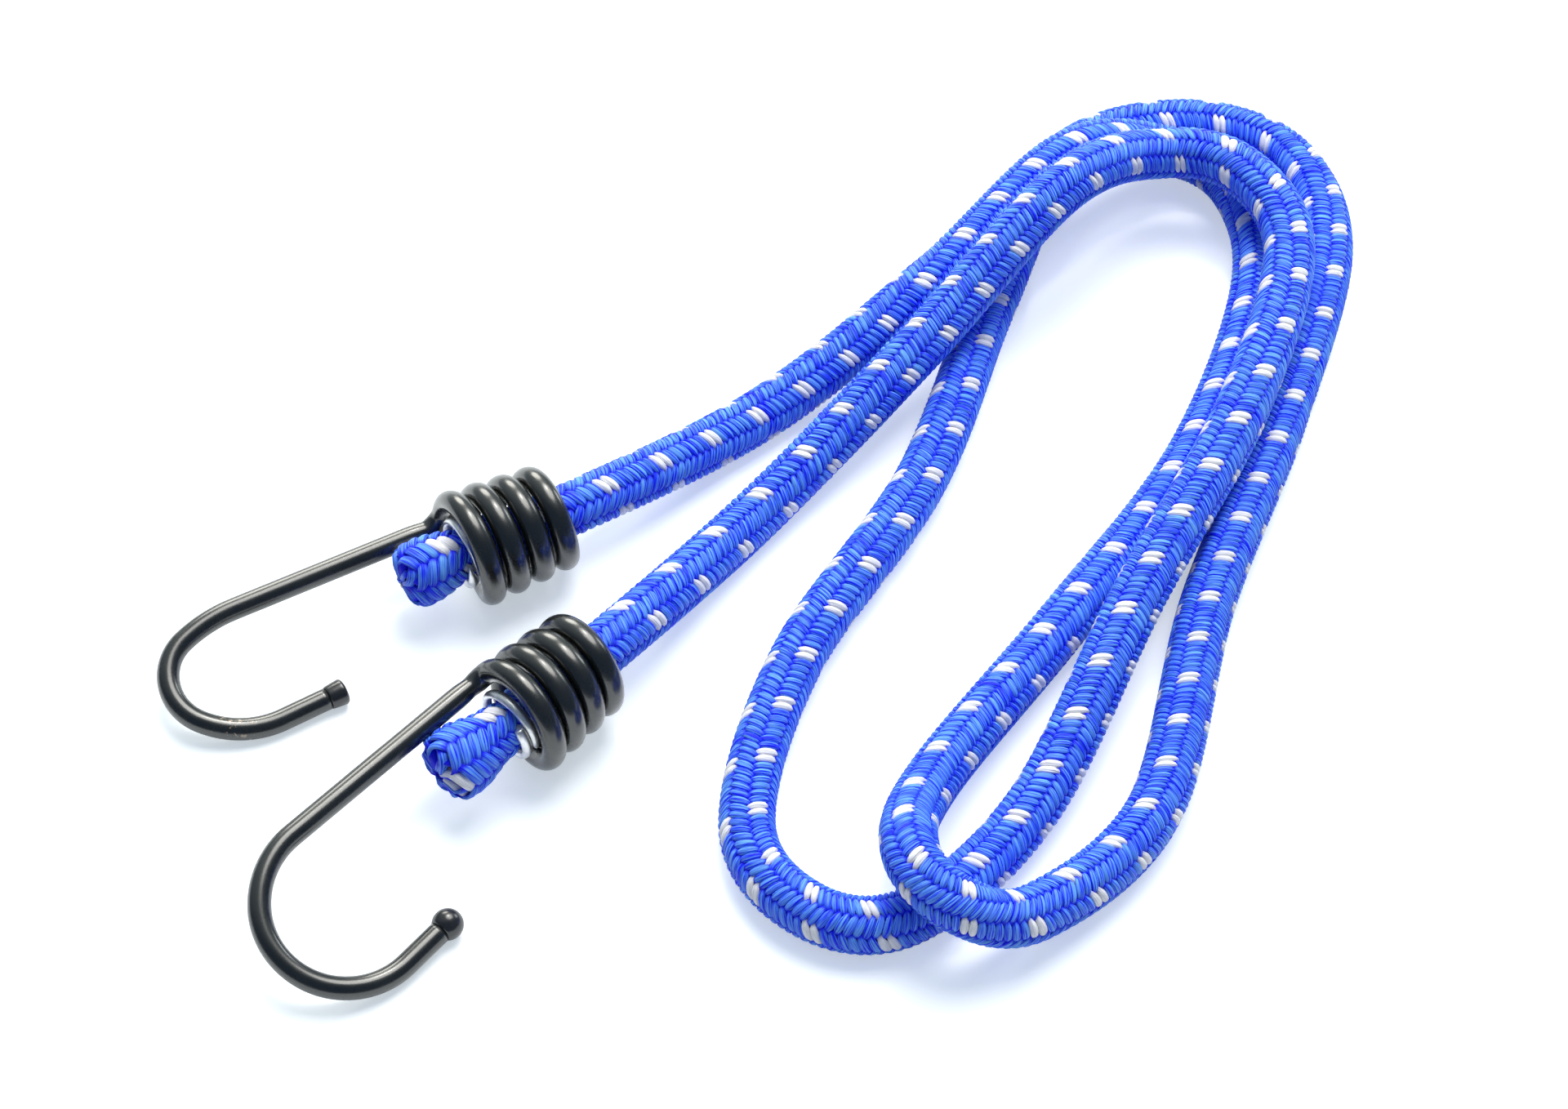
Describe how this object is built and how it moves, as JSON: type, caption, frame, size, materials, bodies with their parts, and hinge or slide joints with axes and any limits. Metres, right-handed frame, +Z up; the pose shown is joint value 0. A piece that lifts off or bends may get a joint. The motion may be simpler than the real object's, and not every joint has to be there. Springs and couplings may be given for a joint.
{
  "type": "bungee cord",
  "caption": "Elastic cord in a braided blue sheath with a coiled wire hook on each end, lying doubled up in long loops.",
  "frame": {"origin": "on the surface the cord lies on, under the middle of the two hooks' box", "axes": "+X from the hooks towards the cord's loops, +Z up from the surface, +Y to the left of +X"},
  "size_m": [0.2161, 0.1166, 0.0232],
  "materials": {
    "braid": "braided royal blue yarn with white flecks",
    "rubber": "natural latex thread",
    "coated_wire": "semi-gloss black coating on steel wire",
    "tip_plastic": "black moulded tip",
    "zinc_wire": "bright zinc-plated wire"
  },
  "bodies": {
    "cord": {"braided_sheath": "braid", "rubber_thread_01": "rubber", "rubber_thread_02": "rubber", "rubber_thread_03": "rubber", "rubber_thread_04": "rubber", "rubber_thread_05": "rubber", "rubber_thread_06": "rubber", "rubber_thread_07": "rubber", "rubber_thread_08": "rubber", "rubber_thread_09": "rubber", "rubber_thread_10": "rubber", "rubber_thread_11": "rubber", "rubber_thread_12": "rubber", "hog_ring_a": "zinc_wire", "hog_ring_b": "zinc_wire"},
    "hook_a": {"hook_a_wire": "coated_wire", "hook_a_tip_cap": "tip_plastic"},
    "hook_b": {"hook_b_wire": "coated_wire", "hook_b_tip_ball": "tip_plastic"}
  },
  "joints": [
    {"name": "hook_a_turn", "type": "hinge", "parent": "cord", "child": "hook_a", "pos_m": [0.0238, 0.0165, 0.009], "axis": [-0.9764, 0.2161, 0], "range_deg": [0, 249]},
    {"name": "hook_b_turn", "type": "hinge", "parent": "cord", "child": "hook_b", "pos_m": [0.0113, -0.0117, 0.009], "axis": [-0.9939, -0.1104, 0], "range_deg": [0, 230]}
  ]
}
